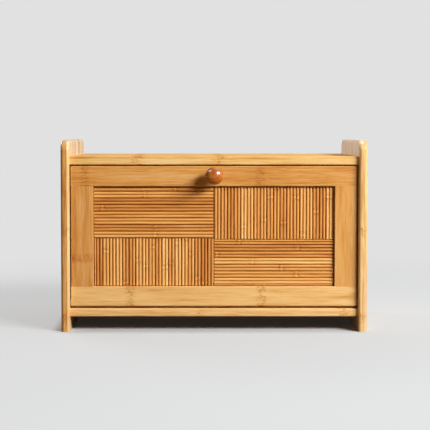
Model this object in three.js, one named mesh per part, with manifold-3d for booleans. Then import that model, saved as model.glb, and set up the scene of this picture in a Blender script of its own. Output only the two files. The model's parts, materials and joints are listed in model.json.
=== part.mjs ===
// A bamboo bread box with a drop-down front door.
//
// Two side panels stand on the worktop and carry a bottom board, a top board and a thin back panel.
// The door fills the front. It is a rail-and-stile frame round four panels of reeded slats, and it
// turns on two pins close above the bottom board, so that its top comes forwards and down.
// Two magnets under the top board hold it shut, and a turned knob opens it.
//
// Millimetres, +Z up, +X to the right and +Y to the back. The origin is on the worktop, in the
// middle of the space that the closed box takes up, knob included.

import * as THREE from "three";
import { mergeVertices } from "three/addons/utils/BufferGeometryUtils.js";
import Module from "manifold-3d";

const wasm = await Module();
wasm.setup();

// Overall sizes
const width = 400; // over the two side panels
const depth = 200; // of a side panel, front edge to back edge
const height = 251; // of a side panel

// Clearances
const glueLine = 0.05; // between two faces that are glued or screwed together
const looseFit = 0.3; // round a screw, a dowel or a panel in its groove
const pressFit = 0.1; // round a pin, a bush or a magnet in its hole
const runningFit = 0.1; // round a hinge pin in its bush

// Side panels
const sideThickness = 11;
const sideEdgeRadius = 3.5; // round of the front, top and back edges
const sideCornerRadius = 14; // top corners, seen from the side

// Bottom and top boards
const boardThickness = 10.8;
const boardEdgeRadius = 1.5;
const boardFrontSetback = 6; // behind the front edges of the side panels
const boardBackSetback = 4; // ahead of their back edges
const standHeight = 19.3; // under the bottom board
const sideRise = 21.2; // of the side panels above the top board

// Back panel
const backThickness = 5;
const backSetback = 8; // ahead of the back edges of the side panels
const backGrooveDepth = 4; // in the sides and in both boards
const ventCount = 7;
const ventRadius = 4;
const ventPitch = 30;
const ventDrop = 34; // below the top board

// Door frame
const doorThickness = 12;
const doorSetback = 7; // behind the front edges of the side panels
const doorSideGap = 1.5;
const doorTopGap = 1.7;
const doorBottomGap = 2.2;
const railHeight = 26.7;
const stileWidth = 29.5;
const frameOuterRadius = 1.2; // the door's top edge
const frameBottomRadius = 2.5; // its bottom edge, which turns close above the board
const frameInnerRadius = 2; // the edge round the reeds
const lipThickness = 3.2; // frame in front of the reeds
const infillGrooveDepth = 5;

// Reeded slats on their backing
const ridgePitch = 4.36; // two ridges make one slat
const reedThickness = 3;
const slatGrooveDepth = 1.9; // between two slats
const ridgeGrooveDepth = 1.2; // between the two ridges of a slat
const ridgeSteps = 6;
const backingThickness = 3;
const leftPanelsDrop = 2.4; // where the left panels meet, below the middle of the opening
const rightPanelsDrop = 4.1; // where the right panels meet

// Knob
const knobRadius = 11.8;
const knobProjection = 24;
const knobNeckRadius = 5;
const knobBaseRadius = 6.5;
const knobRimDistance = 14; // widest place, from the door
const knobRise = 0.8; // above the middle of the top rail
const insertRadius = 3;
const insertLength = 10;
const knobScrew = { shank: 1.9, head: 4, headHeight: 2.6, grip: 8 };
const knobWasher = { radius: 5, thickness: 0.8 };

// Hinge
const pinRadius = 2.5;
const pinInSide = 7;
const pinInDoor = 13;
const bush = { outer: 4, length: 15, flange: 5.4, flangeThickness: 0.9 };

// Screws and dowels of the carcass
const carcassScrew = { shank: 2, head: 4.2, rim: 0.6, length: 38 };
const socketRadius = 1.75;
const socketDepth = 2.2;
const carcassScrewInset = 30; // from the front and back ends of a board's edge
const dowelRadius = 3;
const dowelInSide = 6;
const dowelInBoard = 14;

// Magnetic catches
const catchPlace = 130; // either side of the middle
const catchBlock = { width: 22, depth: 13, floor: 2.5 };
const catchScrew = { shank: 1.4, head: 2.8, rim: 0.3, length: 18 };
const magnetRadius = 4;
const magnetThickness = 4;
const magnetGap = 0.4; // to the strike plate when the door is shut
const strikeRadius = 6.3;
const strikeThickness = 1;
const strikeMargin = 0.6; // below the door's top edge
const strikeScrew = { shank: 1.3, head: 2.5, rim: 0.1, length: 9 };

const roundSteps = 16;
const fineSteps = 24; // round the knob and the hinge
const cornerSteps = 5;
const bore = 1; // how far a cutting tool runs past the face that it enters
const samePoint = 1e-4;

// Places that follow from the sizes. Y counts from the front edges of the side panels, Z from the worktop.
const innerHalfWidth = width / 2 - sideThickness;
const bottomBoardTop = standHeight + boardThickness;
const topBoardUnderside = height - sideRise - boardThickness;
const compartmentHeight = topBoardUnderside - bottomBoardTop;
const boardDepth = depth - boardFrontSetback - boardBackSetback;
const backPanelFront = depth - backSetback - backThickness;
const doorHalfWidth = innerHalfWidth - doorSideGap;
const doorHeight = compartmentHeight - doorTopGap - doorBottomGap;
const hingeY = doorSetback + doorThickness / 2;
const hingeZ = bottomBoardTop + doorBottomGap + doorThickness / 2;
const frontReach = knobProjection + glueLine - doorSetback; // of the knob, ahead of the side panels

// Places in the door, from the hinge line: its face is at -doorFace and its back at +doorFace.
const doorFace = doorThickness / 2;
const doorTop = doorHeight - doorFace;
const openingHalfWidth = doorHalfWidth - stileWidth;
const openingBottom = railHeight - doorFace;
const openingTop = doorTop - railHeight;
const openingMiddle = (openingBottom + openingTop) / 2;
const grooveFront = lipThickness - doorFace;
const grooveWidth = reedThickness + glueLine + backingThickness + 2 * pressFit;
const reedBack = grooveFront + pressFit + reedThickness;
const strikeZ = doorTop - strikeMargin - strikeRadius;

const material = (color, roughness, metalness = 0) =>
  new THREE.MeshStandardMaterial({ color, roughness, metalness });
const boardBamboo = material(0xe0ab6a, 0.45);
const frameBamboo = material(0xd89f5c, 0.45);
const reedBamboo = material(0xc58a4a, 0.5);
const plyBamboo = material(0xddb078, 0.6);
const knobWood = material(0xa55a2a, 0.25);
const beech = material(0xd9bd8f, 0.7);
const steel = material(0xb8bac0, 0.35, 1);
const brass = material(0xc8a24a, 0.35, 1);
const nylon = material(0xe8e4da, 0.6);

const X = new THREE.Vector3(1, 0, 0);
const Y = new THREE.Vector3(0, 1, 0);
const Z = new THREE.Vector3(0, 0, 1);

// A profile is drawn in the two axes that follow its own: Y, Z for "x", Z, X for "y" and X, Y for "z".
const extrudeTurn = {
  x: new THREE.Matrix4().makeBasis(Y, Z, X),
  y: new THREE.Matrix4().makeBasis(Z, X, Y),
  z: new THREE.Matrix4(),
};
const latheTurn = {
  x: new THREE.Matrix4().makeBasis(Z, X, Y),
  y: new THREE.Matrix4(),
  z: new THREE.Matrix4().makeBasis(Y, Z, X),
};

function solidOf(geometry) {
  const bare = geometry.clone();
  bare.deleteAttribute("normal");
  bare.deleteAttribute("uv");
  const merged = mergeVertices(bare, samePoint);
  return new wasm.Manifold(
    new wasm.Mesh({
      numProp: 3,
      vertProperties: merged.attributes.position.array,
      triVerts: new Uint32Array(merged.index.array),
    }),
  );
}

function geometryOf(solid) {
  const mesh = solid.getMesh();
  const geometry = new THREE.BufferGeometry();
  geometry.setAttribute("position", new THREE.BufferAttribute(mesh.vertProperties, 3));
  geometry.setIndex(new THREE.BufferAttribute(mesh.triVerts, 1));
  geometry.computeVertexNormals();
  return geometry;
}

const cut = (geometry, ...tools) =>
  geometryOf(tools.reduce((rest, tool) => rest.subtract(solidOf(tool)), solidOf(geometry)));

// A box from its lowest corner and its sizes.
const block = (x, y, z, sizeX, sizeY, sizeZ) =>
  new THREE.BoxGeometry(sizeX, sizeY, sizeZ).translate(x + sizeX / 2, y + sizeY / 2, z + sizeZ / 2);

// A shape drawn out along an axis, from 0 to length. Points that fall together are taken as one.
function extruded(shape, axis, length, { steps = cornerSteps, ...bevel } = {}) {
  const points = shape.getPoints(steps);
  const distinct = points.filter((p, i) => p.distanceTo(points[(i + 1) % points.length]) > samePoint);
  const options = { depth: length, bevelEnabled: false, ...bevel };
  return new THREE.ExtrudeGeometry(new THREE.Shape(distinct), options).applyMatrix4(extrudeTurn[axis]);
}

// A turned piece from its outline of [radius, distance] points, distance growing away from its start.
function turned(outline, axis, sense = 1, steps = roundSteps) {
  const points = outline.map(([radius, distance]) => new THREE.Vector2(radius, distance * sense));
  if (sense < 0) points.reverse();
  return new THREE.LatheGeometry(points, steps).applyMatrix4(latheTurn[axis]);
}

const rod = (radius, from, to, axis, sense = 1, steps = roundSteps) =>
  turned([[0, from], [radius, from], [radius, to], [0, to]], axis, sense, steps);

const tube = (inner, outer, from, to, axis, sense = 1) =>
  turned([[inner, from], [outer, from], [outer, to], [inner, to], [inner, from]], axis, sense);

function piece(name, geometry, surface, x = 0, y = 0, z = 0) {
  const mesh = new THREE.Mesh(geometry, surface);
  mesh.name = name;
  mesh.position.set(x, y, z);
  return mesh;
}

function group(x, y, z, ...children) {
  const made = new THREE.Group();
  made.position.set(x, y, z);
  made.add(...children);
  return made;
}

// A countersunk screw, its head's face at distance 0.
function countersunkScrew(screw, sense, axis) {
  const cone = screw.rim + screw.head - screw.shank;
  const taper = 2 * screw.shank;
  return turned(
    [
      [0, 0],
      [screw.head, 0],
      [screw.head, screw.rim],
      [screw.shank, cone],
      [screw.shank, screw.length - taper],
      [screw.shank / 3, screw.length],
      [0, screw.length],
    ],
    axis,
    sense,
  );
}

// The hole that such a screw sits in, with its head flush with the face at distance 0.
function countersunkHole(screw, through, sense, axis) {
  const head = screw.head + looseFit;
  const shank = screw.shank + looseFit;
  const rim = screw.rim + looseFit;
  return turned(
    [[0, -bore], [head, -bore], [head, rim], [shank, rim + head - shank], [shank, through], [0, through]],
    axis,
    sense,
  );
}

// A rectangle in the profile's two axes, a and b, with a radius for each corner, anticlockwise
// from the low one.
function roundedRectangle(a0, b0, a1, b1, [r00, r10, r11, r01]) {
  const quarter = Math.PI / 2;
  const shape = new THREE.Shape();
  const corner = (a, b, r, start) => {
    if (r > 0) shape.absarc(a, b, r, start, start + quarter, false);
    else shape.lineTo(a, b);
  };
  shape.moveTo(a0 + r00, b0);
  corner(a1 - r10, b0 + r10, r10, -quarter);
  corner(a1 - r11, b1 - r11, r11, 0);
  corner(a0 + r01, b1 - r01, r01, quarter);
  corner(a0 + r00, b0 + r00, r00, 2 * quarter);
  return shape;
}

// Front and back screw places along a board's end, counted from the side panels' front edges.
const screwDepths = [
  boardFrontSetback + carcassScrewInset,
  boardFrontSetback + boardDepth - carcassScrewInset,
];
const dowelDepth = boardFrontSetback + boardDepth / 2;
const boards = [
  { name: "bottom", middle: standHeight + boardThickness / 2 },
  { name: "top", middle: topBoardUnderside + boardThickness / 2 },
];

// The right side panel, from its inner face at x = 0.
function sidePanel() {
  const below = 2 * sideEdgeRadius;
  const outline = roundedRectangle(0, -below, depth, height, [0, 0, sideCornerRadius, sideCornerRadius]);
  const rounded = extruded(outline, "x", sideThickness - 2 * sideEdgeRadius, {
    bevelEnabled: true,
    bevelThickness: sideEdgeRadius,
    bevelSize: sideEdgeRadius,
    bevelOffset: -sideEdgeRadius,
    bevelSegments: cornerSteps,
  }).translate(sideEdgeRadius, 0, 0);
  const floorTool = block(-bore, -bore, -2 * below, sideThickness + 2 * bore, depth + 2 * bore, 2 * below);
  const backGroove = block(
    -bore,
    backPanelFront - looseFit,
    bottomBoardTop - backGrooveDepth,
    bore + backGrooveDepth,
    backThickness + 2 * looseFit,
    compartmentHeight + 2 * backGrooveDepth,
  );
  const pinHole = rod(pinRadius + pressFit, -bore, pinInSide + looseFit, "x", 1, fineSteps)
    .translate(0, hingeY, hingeZ);
  const screwHoles = boards.flatMap(({ middle }) =>
    screwDepths.map((y) =>
      countersunkHole(carcassScrew, sideThickness + bore, -1, "x").translate(sideThickness, y, middle),
    ),
  );
  const dowelHoles = boards.map(({ middle }) =>
    rod(dowelRadius + looseFit, -bore, dowelInSide + looseFit, "x").translate(0, dowelDepth, middle),
  );
  return cut(rounded, floorTool, backGroove, pinHole, ...screwHoles, ...dowelHoles);
}

function socketScrew() {
  const socket = rod(socketRadius, -bore, socketDepth, "x", -1, 6);
  return cut(countersunkScrew(carcassScrew, -1, "x"), socket);
}

function dowel() {
  const chamfer = 1;
  const from = -dowelInSide;
  return turned(
    [
      [0, from],
      [dowelRadius - chamfer, from],
      [dowelRadius, from + chamfer],
      [dowelRadius, dowelInBoard - chamfer],
      [dowelRadius - chamfer, dowelInBoard],
      [0, dowelInBoard],
    ],
    "x",
    -1,
  );
}

function hingePin() {
  const chamfer = 0.4;
  const from = -pinInSide;
  const to = doorSideGap + pinInDoor;
  return turned(
    [
      [0, from],
      [pinRadius - chamfer, from],
      [pinRadius, from + chamfer],
      [pinRadius, to - chamfer],
      [pinRadius - chamfer, to],
      [0, to],
    ],
    "x",
    -1,
    fineSteps,
  );
}

// One side panel with the screws, dowels and hinge pin that go into it, drawn for the right.
function side(hand) {
  const screwAt = (name, y, z) =>
    piece(`carcass_screw_${hand}_${name}`, socketScrew(), steel, sideThickness, y, z);
  const [front, back] = screwDepths;
  const fasteners = boards.flatMap(({ name, middle }) => [
    screwAt(`${name}_front`, front, middle),
    screwAt(`${name}_back`, back, middle),
    piece(`dowel_${hand}_${name}`, dowel(), beech, 0, dowelDepth, middle),
  ]);
  return group(
    innerHalfWidth,
    0,
    0,
    piece(`side_panel_${hand}`, sidePanel(), boardBamboo),
    piece(`hinge_pin_${hand}`, hingePin(), steel, 0, hingeY, hingeZ),
    ...fasteners,
  );
}

// The holes that both ends of a board have for screws and dowels, in the board's own frame.
function boardEndHoles() {
  const end = innerHalfWidth - glueLine;
  const screwDepthInBoard = carcassScrew.length - sideThickness + looseFit;
  const middle = boardThickness / 2;
  return [-1, 1].flatMap((hand) => [
    ...screwDepths.map((y) =>
      rod(carcassScrew.shank + looseFit, -bore, screwDepthInBoard, "x", -hand)
        .translate(hand * end, y - boardFrontSetback, middle),
    ),
    rod(dowelRadius + looseFit, -bore, dowelInBoard + looseFit, "x", -hand)
      .translate(hand * end, dowelDepth - boardFrontSetback, middle),
  ]);
}

// A board from its underside, with the groove for the back panel in the face at grooveZ.
function board(grooveZ, ...moreHoles) {
  const length = 2 * (innerHalfWidth - glueLine);
  const radii = [boardEdgeRadius, boardEdgeRadius, boardEdgeRadius, boardEdgeRadius];
  const bar = extruded(roundedRectangle(0, 0, boardDepth, boardThickness, radii), "x", length);
  const groove = block(
    -length,
    backPanelFront - boardFrontSetback - looseFit,
    grooveZ,
    2 * length,
    backThickness + 2 * looseFit,
    bore + backGrooveDepth,
  );
  return cut(bar.translate(-length / 2, 0, 0), groove, ...boardEndHoles(), ...moreHoles);
}

function backPanel() {
  const reach = backGrooveDepth - looseFit;
  const halfWidth = innerHalfWidth + reach;
  const sheet = block(-halfWidth, 0, -reach, 2 * halfWidth, backThickness, compartmentHeight + 2 * reach);
  const vents = Array.from({ length: ventCount }, (_, i) =>
    rod(ventRadius, -bore, backThickness + bore, "y")
      .translate((i - (ventCount - 1) / 2) * ventPitch, 0, compartmentHeight - ventDrop),
  );
  return cut(sheet, ...vents);
}

// Behind the shut door: the strike plate, a gap, then the catch block with its magnet flush in front.
const catchFront = doorFace + glueLine + strikeThickness + magnetGap;
const catchHeight = topBoardUnderside - (hingeZ + strikeZ - magnetRadius - catchBlock.floor);
const catchScrewDepth = magnetThickness + (catchBlock.depth - magnetThickness) / 2;
const catchY = hingeY + catchFront;

function catchAssembly(hand, x) {
  const { width: sizeX, depth: sizeY } = catchBlock;
  const magnetZ = hingeZ + strikeZ - topBoardUnderside;
  const body = block(-sizeX / 2, 0, -catchHeight, sizeX, sizeY, catchHeight - glueLine);
  const magnetHole = rod(magnetRadius + pressFit, -bore, magnetThickness + pressFit, "y");
  const screwHole = countersunkHole(catchScrew, catchHeight + bore, 1, "z");
  magnetHole.translate(0, 0, magnetZ);
  screwHole.translate(0, catchScrewDepth, -catchHeight);
  const magnet = rod(magnetRadius, 0, magnetThickness, "y");
  const screw = countersunkScrew(catchScrew, 1, "z");
  return group(
    x,
    catchY,
    topBoardUnderside,
    piece(`catch_block_${hand}`, cut(body, magnetHole, screwHole), boardBamboo),
    piece(`catch_magnet_${hand}`, magnet, steel, 0, 0, magnetZ),
    piece(`catch_screw_${hand}`, screw, steel, 0, catchScrewDepth, -catchHeight),
  );
}

function carcass() {
  const catchPilots = [-catchPlace, catchPlace].map((x) =>
    rod(catchScrew.shank + looseFit, -bore, catchScrew.length - catchHeight + looseFit, "z")
      .translate(x, catchY + catchScrewDepth - boardFrontSetback, 0),
  );
  const left = side("left");
  left.position.x *= -1;
  left.scale.x = -1;
  const bottomBoard = board(boardThickness - backGrooveDepth);
  const topBoard = board(-bore, ...catchPilots);
  return group(
    0,
    0,
    0,
    side("right"),
    left,
    piece("bottom_board", bottomBoard, boardBamboo, 0, boardFrontSetback, standHeight),
    piece("top_board", topBoard, boardBamboo, 0, boardFrontSetback, topBoardUnderside),
    piece("back_panel", backPanel(), plyBamboo, 0, backPanelFront, bottomBoardTop),
    catchAssembly("left", -catchPlace),
    catchAssembly("right", catchPlace),
  );
}

// A rail's section in Y, Z: the opening's edge at z = 0 with its groove, the rail below it.
// outerEdge draws the far edge, from the back face round to the front face.
function railSection(outerEdge) {
  const r = frameInnerRadius;
  const section = new THREE.Shape();
  section.moveTo(-doorFace, -railHeight / 2);
  section.lineTo(-doorFace, -r);
  section.absarc(r - doorFace, -r, r, Math.PI, Math.PI / 2, true);
  section.lineTo(grooveFront, 0);
  section.lineTo(grooveFront, -infillGrooveDepth);
  section.lineTo(grooveFront + grooveWidth, -infillGrooveDepth);
  section.lineTo(grooveFront + grooveWidth, 0);
  section.lineTo(doorFace, 0);
  outerEdge(section);
  return section;
}

const roundedEdge = (r) => (section) => {
  section.absarc(doorFace - r, r - railHeight, r, 0, -Math.PI / 2, true);
  section.absarc(r - doorFace, r - railHeight, r, -Math.PI / 2, -Math.PI, true);
};

function bottomRail() {
  const bar = extruded(railSection(roundedEdge(frameBottomRadius)), "x", 2 * doorHalfWidth);
  const bushHoles = [-1, 1].map((hand) =>
    rod(bush.outer + pressFit, -bore, bush.length + looseFit, "x", -hand, fineSteps)
      .translate(hand * doorHalfWidth, 0, -openingBottom),
  );
  return cut(bar.translate(-doorHalfWidth, 0, 0), ...bushHoles);
}

function topRail() {
  const section = railSection(roundedEdge(frameOuterRadius));
  const bar = extruded(section, "x", 2 * doorHalfWidth).translate(-doorHalfWidth, 0, 0);
  bar.applyMatrix4(new THREE.Matrix4().makeRotationY(Math.PI)); // the groove now faces down
  const knobHole = rod(knobScrew.shank + looseFit, -doorThickness, doorThickness, "y");
  knobHole.translate(0, 0, railHeight / 2 + knobRise);
  const strikeHoles = [-1, 1].map((hand) =>
    rod(strikeScrew.shank + looseFit, -bore, strikeScrew.length - strikeThickness + looseFit, "y", -1)
      .translate(hand * catchPlace, doorFace, strikeZ - openingTop),
  );
  return cut(bar, knobHole, ...strikeHoles);
}

// The right stile, from the opening's edge at x = 0. Its ends fit over the rails' rounded edges
// and have stub tenons in the rails' grooves.
function stile() {
  const end = openingTop - openingBottom - glueLine;
  const tenon = infillGrooveDepth - looseFit;
  const tenonFront = grooveFront + pressFit;
  const tenonBack = grooveFront + grooveWidth - pressFit;
  const scribe = frameInnerRadius + pressFit;
  const centre = frameInnerRadius - doorFace;
  const outline = new THREE.Shape();
  outline.moveTo(centre, end);
  outline.lineTo(tenonFront, end);
  outline.lineTo(tenonFront, end + tenon);
  outline.lineTo(tenonBack, end + tenon);
  outline.lineTo(tenonBack, end);
  outline.lineTo(doorFace, end);
  outline.lineTo(doorFace, glueLine);
  outline.lineTo(tenonBack, glueLine);
  outline.lineTo(tenonBack, -tenon);
  outline.lineTo(tenonFront, -tenon);
  outline.lineTo(tenonFront, glueLine);
  outline.lineTo(centre, glueLine);
  const span = Math.acos((frameInnerRadius - pressFit / 2) / scribe);
  outline.absarc(centre, -frameInnerRadius, scribe, Math.PI / 2, Math.PI - span, false);
  outline.absarc(centre, end + frameInnerRadius, scribe, Math.PI + span, 1.5 * Math.PI, false);
  const bar = extruded(outline, "x", stileWidth);
  const long = end + 4 * infillGrooveDepth;
  const groove = block(
    -bore,
    grooveFront,
    -2 * infillGrooveDepth,
    bore + infillGrooveDepth,
    grooveWidth,
    long,
  );
  const r = frameInnerRadius;
  const edge = new THREE.Shape();
  edge.moveTo(-bore, -doorFace - bore);
  edge.lineTo(r, -doorFace - bore);
  edge.lineTo(r, -doorFace);
  edge.absarc(r, r - doorFace, r, -Math.PI / 2, -Math.PI, true);
  edge.lineTo(-bore, r - doorFace);
  const edgeTool = extruded(edge, "z", long).translate(0, 0, -2 * infillGrooveDepth);
  return cut(bar, groove, edgeTool);
}

function backing() {
  const reach = infillGrooveDepth - looseFit;
  const sizeX = 2 * (openingHalfWidth + reach);
  const sizeZ = openingTop - openingBottom + 2 * reach;
  return block(-sizeX / 2, 0, -reach, sizeX, backingThickness, sizeZ);
}

// How thick the reeds are at a distance across them. Each slat has two ridges.
function reedHeight(across) {
  const turns = across / ridgePitch;
  const fromRidge = 2 * (turns - Math.floor(turns)) - 1; // -1 and 1 are the grooves either side
  const depth = Math.round(turns) % 2 === 0 ? slatGrooveDepth : ridgeGrooveDepth;
  return reedThickness - depth * fromRidge * fromRidge;
}

// A panel of slats over a flat back. It grows from the line where the panels meet, the way that
// across (+1 or -1) says, and its last slat is trimmed to fit in the frame's groove.
function reedPanel(name, upright, across, span, from, to, meetingZ) {
  const step = ridgePitch / ridgeSteps;
  const places = Array.from({ length: Math.ceil(span / step) }, (_, i) => i * step);
  const ridged = [...places, span].map((u) => [u * across, -reedHeight(u)]);
  const points = [...ridged, [span * across, 0], [0, 0]].map(([u, v]) => (upright ? [u, v] : [v, u]));
  const shape = new THREE.Shape(points.map(([a, b]) => new THREE.Vector2(a, b)));
  const geometry = extruded(shape, upright ? "z" : "x", to - from);
  const place = upright ? [0, reedBack, from] : [from, reedBack, meetingZ];
  return piece(name, geometry, reedBamboo, ...place);
}

function reedPanels() {
  const cover = infillGrooveDepth - looseFit;
  const leftMeeting = openingMiddle - leftPanelsDrop;
  const rightMeeting = openingMiddle - rightPanelsDrop;
  const low = openingBottom - cover;
  const high = openingTop + cover;
  const far = openingHalfWidth + cover;
  const above = leftMeeting + glueLine;
  const below = rightMeeting - glueLine;
  return [
    reedPanel("reeds_upper_left", false, 1, high - above, -far, -glueLine, above),
    reedPanel("reeds_upper_right", true, 1, far, rightMeeting + glueLine, high),
    reedPanel("reeds_lower_left", true, -1, far, low, leftMeeting - glueLine),
    reedPanel("reeds_lower_right", false, -1, below - low, glueLine, far, below),
  ];
}

// The knob's outline from the door, with the hole for its insert.
function knobShape() {
  const holeDepth = insertLength + looseFit;
  const neck = knobRimDistance / 3;
  const path = new THREE.Path();
  path.moveTo(knobBaseRadius, 0);
  path.quadraticCurveTo(knobNeckRadius, 0.2 * neck, knobNeckRadius, neck);
  path.bezierCurveTo(
    knobNeckRadius,
    0.65 * knobRimDistance,
    knobRadius,
    0.55 * knobRimDistance,
    knobRadius,
    knobRimDistance,
  );
  path.absellipse(0, knobRimDistance, knobRadius, knobProjection - knobRimDistance, 0, Math.PI / 2, false);
  const curve = path.getPoints(cornerSteps).map((p) => [p.x < 1e-6 ? 0 : p.x, p.y]);
  const r = insertRadius + pressFit;
  const distinct = curve.filter((p, i) => !i || p[0] !== curve[i - 1][0] || p[1] !== curve[i - 1][1]);
  return turned([[0, holeDepth], [r, holeDepth], [r, 0], ...distinct], "y", -1, fineSteps);
}

// A pan-head screw from the back, through its washer and the rail into the knob's insert.
function knobAssembly() {
  const head = doorThickness + 2 * glueLine + knobWasher.thickness;
  const headStart = -head - glueLine;
  const dome = 0.8;
  const screw = turned(
    [
      [0, headStart - knobScrew.headHeight],
      [knobScrew.head - dome, headStart - knobScrew.headHeight],
      [knobScrew.head, headStart - knobScrew.headHeight + dome],
      [knobScrew.head, headStart],
      [knobScrew.shank, headStart],
      [knobScrew.shank, knobScrew.grip],
      [0, knobScrew.grip],
    ],
    "y",
    -1,
  );
  const hole = knobScrew.shank + looseFit;
  const washerEnd = -(doorThickness + glueLine);
  const washer = tube(hole, knobWasher.radius, washerEnd - knobWasher.thickness, washerEnd, "y", -1);
  return group(
    0,
    -doorFace - glueLine,
    openingTop + railHeight / 2 + knobRise,
    piece("knob", knobShape(), knobWood),
    piece("knob_insert", tube(hole, insertRadius, pressFit, insertLength, "y", -1), brass),
    piece("knob_screw", screw, steel),
    piece("knob_washer", washer, steel),
  );
}

function strikePlate() {
  const hole = countersunkHole(strikeScrew, strikeThickness + bore, -1, "y");
  return cut(rod(strikeRadius, 0, strikeThickness, "y"), hole.translate(0, strikeThickness, 0));
}

function hingeBush() {
  const inner = pinRadius + runningFit;
  return turned(
    [
      [inner, -bush.flangeThickness],
      [bush.flange, -bush.flangeThickness],
      [bush.flange, -glueLine],
      [bush.outer, -glueLine],
      [bush.outer, bush.length],
      [inner, bush.length],
      [inner, -bush.flangeThickness],
    ],
    "x",
    -1,
    fineSteps,
  );
}

// What the door has at each side, drawn for the right.
function doorSide(hand) {
  const plateBack = doorFace + glueLine + strikeThickness;
  const strikeScrewPiece = countersunkScrew(strikeScrew, -1, "y");
  return group(
    0,
    0,
    0,
    piece(`stile_${hand}`, stile(), frameBamboo, openingHalfWidth, 0, openingBottom),
    piece(`hinge_bush_${hand}`, hingeBush(), nylon, doorHalfWidth, 0, 0),
    piece(`strike_plate_${hand}`, strikePlate(), steel, catchPlace, doorFace + glueLine, strikeZ),
    piece(`strike_screw_${hand}`, strikeScrewPiece, steel, catchPlace, plateBack, strikeZ),
  );
}

function door() {
  const left = doorSide("left");
  left.scale.x = -1;
  return group(
    0,
    hingeY,
    hingeZ,
    piece("bottom_rail", bottomRail(), frameBamboo, 0, 0, openingBottom),
    piece("top_rail", topRail(), frameBamboo, 0, 0, openingTop),
    doorSide("right"),
    left,
    piece("reed_backing", backing(), plyBamboo, 0, reedBack + glueLine, openingBottom),
    ...reedPanels(),
    knobAssembly(),
  );
}

const breadBox = group(0, (frontReach - depth) / 2, 0, carcass(), door());

export default breadBox;
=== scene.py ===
import json
import math
import random

import bmesh
import bpy
from mathutils import Matrix, Vector


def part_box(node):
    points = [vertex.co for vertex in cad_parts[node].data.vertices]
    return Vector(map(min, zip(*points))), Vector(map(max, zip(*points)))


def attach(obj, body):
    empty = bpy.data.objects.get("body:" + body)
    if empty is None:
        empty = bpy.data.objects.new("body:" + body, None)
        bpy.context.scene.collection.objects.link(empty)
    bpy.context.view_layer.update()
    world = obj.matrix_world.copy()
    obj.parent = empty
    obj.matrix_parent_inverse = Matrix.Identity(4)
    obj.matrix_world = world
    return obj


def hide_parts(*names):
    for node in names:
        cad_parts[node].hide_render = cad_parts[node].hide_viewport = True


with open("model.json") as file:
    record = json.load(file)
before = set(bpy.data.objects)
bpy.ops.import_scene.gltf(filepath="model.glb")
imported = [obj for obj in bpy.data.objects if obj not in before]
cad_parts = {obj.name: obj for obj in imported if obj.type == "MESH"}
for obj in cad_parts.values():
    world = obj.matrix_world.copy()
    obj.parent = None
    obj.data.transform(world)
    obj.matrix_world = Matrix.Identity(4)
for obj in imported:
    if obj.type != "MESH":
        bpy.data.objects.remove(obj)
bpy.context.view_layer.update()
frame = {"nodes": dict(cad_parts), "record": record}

record = frame["record"]
nodes = frame["nodes"]
slot_of = {part["node"]: part["material_slot"] for part in record["subparts"]}
body_of = {node: body for body, group in record["behaviour"]["bodies"].items() for node in group}
X, Y, Z = Vector((1, 0, 0)), Vector((0, 1, 0)), Vector((0, 0, 1))
hands = (("left", -X), ("right", X))
mm = 0.001
tiny = 1e-6

# Rounded edges of the woodwork
panel_corner = 14 * mm
panel_edge_round = 3.5 * mm
board_ease = 1.5 * mm
top_board_ease_under = 0.5 * mm
door_ease = 1.3 * mm
door_end_ease = 1.04 * mm
bottom_edge_round = 2.48 * mm
inner_round = 1 * mm
back_ease = 0.8 * mm
block_ease = 0.9 * mm
joint_gap = 0.12 * mm

# Reeded slats
upright_pitch = 4.31 * mm
level_pitch = 4.37 * mm
first_low_slat = 7.1 * mm
slat_gap = 0.14 * mm
slat_end_gap = 0.5 * mm
infill_gap = 0.9 * mm
infill_gap_top = 1.6 * mm
ridge_rise = 1.35 * mm
slat_edge_drop = 0.4 * mm
ridge_steps = 6

# Hardware
seat_depth = 3.2 * mm
carcass_screw_shank = 2 * mm
catch_screw_shank = 1.4 * mm
strike_screw_shank = 1.3 * mm
knob_screw_shank = 1.9 * mm
vent_count = 7
vent_pitch = 30 * mm
vent_radius = 4 * mm
vent_rim = 0.7 * mm
vent_drop = 37.7 * mm

past = 1 * mm  # how far a cutter reaches beyond the face it cuts
round_steps = 48
knob_steps = 64


# ---------------------------------------------------------------- mesh work


def place_of(node):
    """A node's lowest corner, highest corner and middle."""
    low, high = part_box(node)
    return low, high, (low + high) / 2


def block(low, high):
    """A bar from its lowest to its highest corner."""
    low, high = Vector(low), Vector(high)
    bm = bmesh.new()
    bmesh.ops.create_cube(bm, size=1)
    bmesh.ops.scale(bm, vec=high - low, verts=bm.verts)
    bmesh.ops.translate(bm, vec=(low + high) / 2, verts=bm.verts)
    return bm


def edges_at(bm, **places):
    """The edges whose two ends both lie at the given places, such as x=0.1."""
    wanted = [("xyz".index(axis), place) for axis, place in places.items()]
    return [
        edge
        for edge in bm.edges
        if all(abs(v.co[i] - place) < tiny for v in edge.verts for i, place in wanted)
    ]


def round_over(bm, edges, radius, segments):
    bmesh.ops.bevel(
        bm,
        geom=list(set(edges)),
        offset=radius,
        offset_type="OFFSET",
        affect="EDGES",
        segments=segments,
        profile=0.5,
        material=-1,
        clamp_overlap=True,
    )


def arc(centre, radius, start, end, steps):
    """Points round a centre in the outline's plane, angles in degrees."""
    turn = [math.radians(start + (end - start) * i / steps) for i in range(steps + 1)]
    return [(centre[0] + radius * math.cos(t), centre[1] + radius * math.sin(t)) for t in turn]


def wire(bm, points):
    """A chain of edges through the points."""
    verts = [bm.verts.new(point) for point in points]
    return verts, [bm.edges.new(pair) for pair in zip(verts, verts[1:])]


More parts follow.
